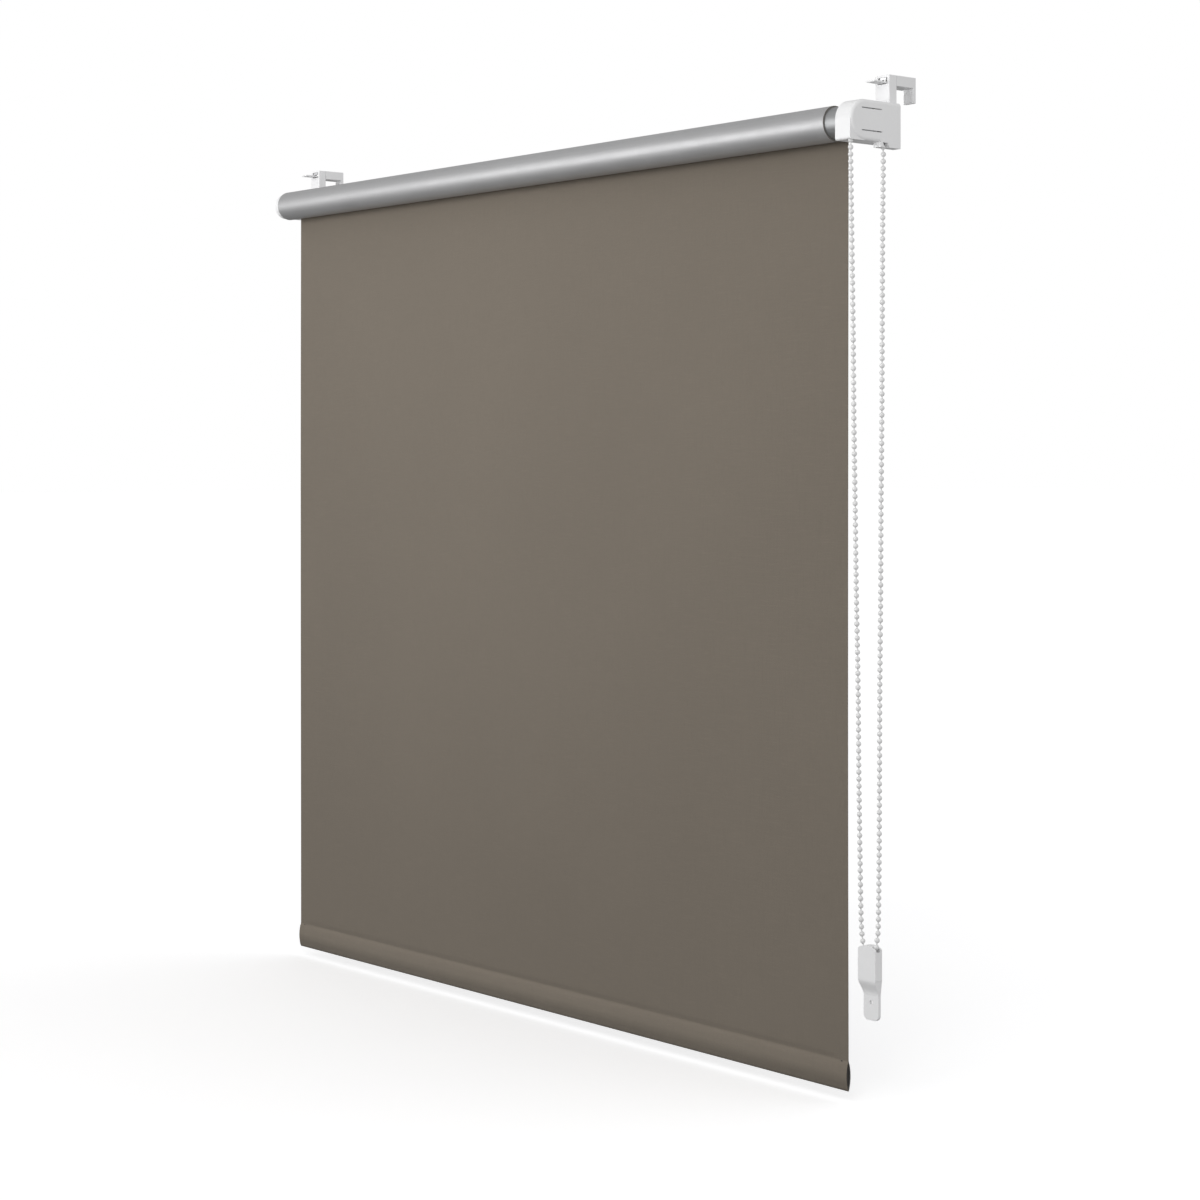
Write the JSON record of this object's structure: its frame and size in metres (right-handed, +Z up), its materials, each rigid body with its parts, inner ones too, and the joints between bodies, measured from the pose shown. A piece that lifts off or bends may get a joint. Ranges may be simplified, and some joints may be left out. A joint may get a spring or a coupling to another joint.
{
  "type": "roller blind",
  "caption": "Clamp-on roller blind: cloth on a tube roller with an endless bead-chain drive, flat bottom bar, chain tensioner and two sash hooks.",
  "frame": {"origin": "top front edge of the window sash, half way along the blind: Y = 0 is the sash's front face and Z = 0 its top edge", "axes": "+X along the roll towards the chain side, -Y to the room, +Z up"},
  "size_m": [0.9113, 0.0838, 0.871],
  "materials": {
    "white_plastic": "fine satin moulding",
    "clamp_plastic": "fine satin moulding",
    "grey_plastic": "satin moulding",
    "bead_plastic": "smooth, slightly glossy",
    "cap_plastic": "matt moulding",
    "cloth_face": "fine plain weave, matt",
    "cloth_coating": "silver heat-reflecting coating with a soft sheen",
    "tube_aluminium": "drawn, satin",
    "bar_aluminium": "drawn, satin",
    "spring_steel": "zinc bright",
    "screw_steel": "zinc plated",
    "pad_foam": "matt soft pad"
  },
  "bodies": {
    "frame": {"drive_housing": "white_plastic", "drive_cover": "white_plastic", "drive_core": "grey_plastic", "core_clip": "spring_steel", "chain_wrap": "bead_plastic", "idle_bracket": "white_plastic", "clamp_carrier_r": "white_plastic", "clamp_carrier_l": "white_plastic", "clamp_nut_r": "spring_steel", "clamp_nut_l": "spring_steel"},
    "roll": {"tube": "tube_aluminium", "fabric_roll": "cloth_coating", "drive_hub": "grey_plastic", "sprocket": "grey_plastic", "clutch_spring_a": "spring_steel", "clutch_spring_b": "spring_steel", "idle_plug": "white_plastic", "idle_end_cap": "grey_plastic"},
    "idle_pin": {"idle_pin": "grey_plastic", "idle_spring": "spring_steel"},
    "bottom": {"fabric_sheet": "cloth_face", "hem_pocket": "cloth_face", "bottom_bar": "bar_aluminium", "bar_cap_r": "cap_plastic", "bar_cap_l": "cap_plastic"},
    "chain": {"chain_loop": "bead_plastic", "tensioner_body": "white_plastic", "tensioner_cover": "white_plastic"},
    "hook_r": {"clamp_hook_r": "clamp_plastic", "hook_pad_r": "pad_foam"},
    "hook_l": {"clamp_hook_l": "clamp_plastic", "hook_pad_l": "pad_foam"},
    "screw_r": {"clamp_screw_r": "screw_steel"},
    "screw_l": {"clamp_screw_l": "screw_steel"}
  },
  "joints": [
    {"name": "roll_spin", "type": "hinge", "parent": "frame", "child": "roll", "pos_m": [0, -0.0425, -0.033], "axis": [1, 0, 0], "range_deg": [0, 2590], "deforming": ["chain_wrap"]},
    {"name": "blind_lift", "type": "slide", "parent": "frame", "child": "bottom", "axis": [0, 0, 1], "range_m": [0, 0.7715], "deforming": ["fabric_sheet"]},
    {"name": "idle_pin_push", "type": "slide", "parent": "roll", "child": "idle_pin", "axis": [1, 0, 0], "range_m": [0, 0.008], "stiffness_N_per_m": 300, "springref_m": -0.006, "deforming": ["idle_spring"]},
    {"name": "chain_swing", "type": "hinge", "parent": "frame", "child": "chain", "pos_m": [0.4475, -0.036, -0.06], "axis": [0, -1, 0], "range_deg": [0, 20]},
    {"name": "hook_slide_r", "type": "slide", "parent": "frame", "child": "hook_r", "axis": [0, 1, 0], "range_m": [0, 0.008]},
    {"name": "hook_slide_l", "type": "slide", "parent": "frame", "child": "hook_l", "axis": [0, 1, 0], "range_m": [0, 0.008]},
    {"name": "clamp_screw_r", "type": "hinge", "parent": "frame", "child": "screw_r", "pos_m": [0.439, -0.0044, 0.006], "axis": [0, 0, 1], "range_deg": [0, 720]},
    {"name": "clamp_screw_l", "type": "hinge", "parent": "frame", "child": "screw_l", "pos_m": [-0.443, -0.0044, 0.006], "axis": [0, 0, 1], "range_deg": [0, 720]}
  ],
  "couplings": [
    {"joint": "blind_lift", "follows": "roll_spin", "m_per_rad": 0.01705}
  ]
}
